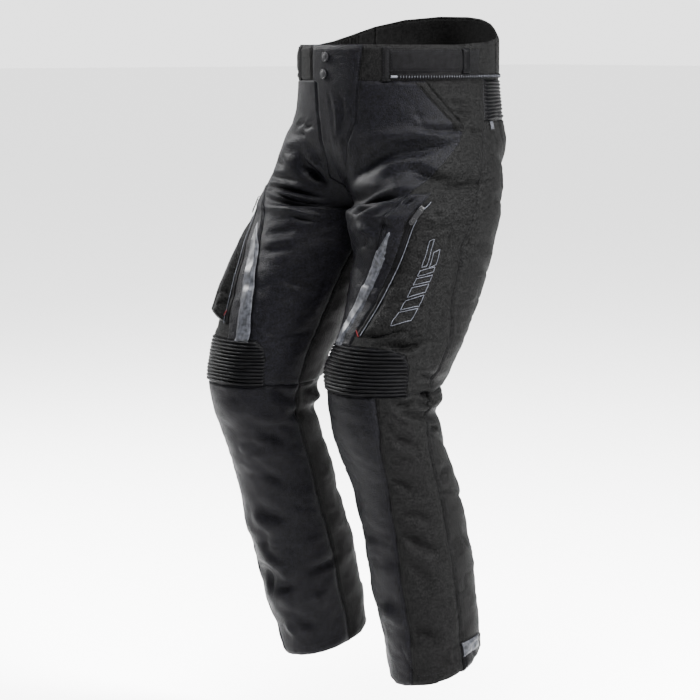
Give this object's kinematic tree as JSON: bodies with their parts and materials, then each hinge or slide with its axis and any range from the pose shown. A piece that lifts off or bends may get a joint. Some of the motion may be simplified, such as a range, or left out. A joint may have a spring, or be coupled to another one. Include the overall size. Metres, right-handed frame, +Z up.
{
  "type": "motorcycle trousers",
  "caption": "Black textile motorcycle trousers with strap waist, slanted zipped thigh pockets, reflective wedges, ribbed stretch knees and seat, and loose straight legs.",
  "frame": {"origin": "middle of the waist opening, halfway between the bottom and the front top of the waistband", "axes": "+Z up along the standing wearer, -Y to the front, +X to the wearer's left"},
  "size_m": [0.4337, 0.4375, 1.0848],
  "materials": {
    "smooth_cloth": "matt smooth-faced polyester, slight bluish sheen",
    "coarse_cloth": "matt coarse polyester weave",
    "stretch": "ribbed stretch cloth",
    "lining": "soft lining cloth",
    "strap": "flat webbing",
    "reflective": "grey reflective film on cloth",
    "zip_tape": "zip tape with coil teeth",
    "zip_metal": "black lacquered, half gloss",
    "snap_metal": "dark lacquered, half gloss"
  },
  "bodies": {
    "trousers": {"front_thigh_left": "smooth_cloth", "hand_pocket_welt_left": "coarse_cloth", "side_thigh_left": "coarse_cloth", "pocket_strip_left": "smooth_cloth", "reflective_wedge_left": "reflective", "cargo_pocket_left": "coarse_cloth", "pocket_zip_left": "zip_tape", "zip_slider_left": "zip_metal", "back_thigh_left": "coarse_cloth", "knee_rib_left": "stretch", "shin_left": "smooth_cloth", "shin_side_left": "coarse_cloth", "calf_left": "coarse_cloth", "hem_gusset_left": "stretch", "hem_tab_left": "reflective", "waistband_left": "coarse_cloth", "belt_loop_left": "strap", "waist_strap_left": "strap", "strap_keeper_left": "stretch", "front_thigh_right": "smooth_cloth", "hand_pocket_welt_right": "coarse_cloth", "side_thigh_right": "coarse_cloth", "pocket_strip_right": "smooth_cloth", "reflective_wedge_right": "reflective", "cargo_pocket_right": "coarse_cloth", "pocket_zip_right": "zip_tape", "zip_slider_right": "zip_metal", "back_thigh_right": "coarse_cloth", "knee_rib_right": "stretch", "shin_right": "smooth_cloth", "shin_side_right": "coarse_cloth", "calf_right": "coarse_cloth", "hem_gusset_right": "stretch", "hem_tab_right": "reflective", "waistband_right": "coarse_cloth", "belt_loop_right": "strap", "waist_strap_right": "strap", "strap_keeper_right": "stretch", "waistband_back": "coarse_cloth", "waist_lining_back": "lining", "jacket_zip": "zip_tape", "seat_stretch": "stretch", "fly": "smooth_cloth", "snap_top": "snap_metal", "snap_bottom": "snap_metal"},
    "pull_left": {"zip_pull_left": "zip_metal"},
    "pull_right": {"zip_pull_right": "zip_metal"}
  },
  "joints": [
    {"name": "pull_left_hinge", "type": "hinge", "parent": "trousers", "child": "pull_left", "pos_m": [0.1906, -0.11921, -0.22415], "axis": [-0.5419, -0.5846, 0.6039], "range_deg": [0, 110]},
    {"name": "pull_right_hinge", "type": "hinge", "parent": "trousers", "child": "pull_right", "pos_m": [-0.18038, -0.15316, -0.22458], "axis": [-0.6989, 0.4381, -0.5653], "range_deg": [0, 110]}
  ]
}
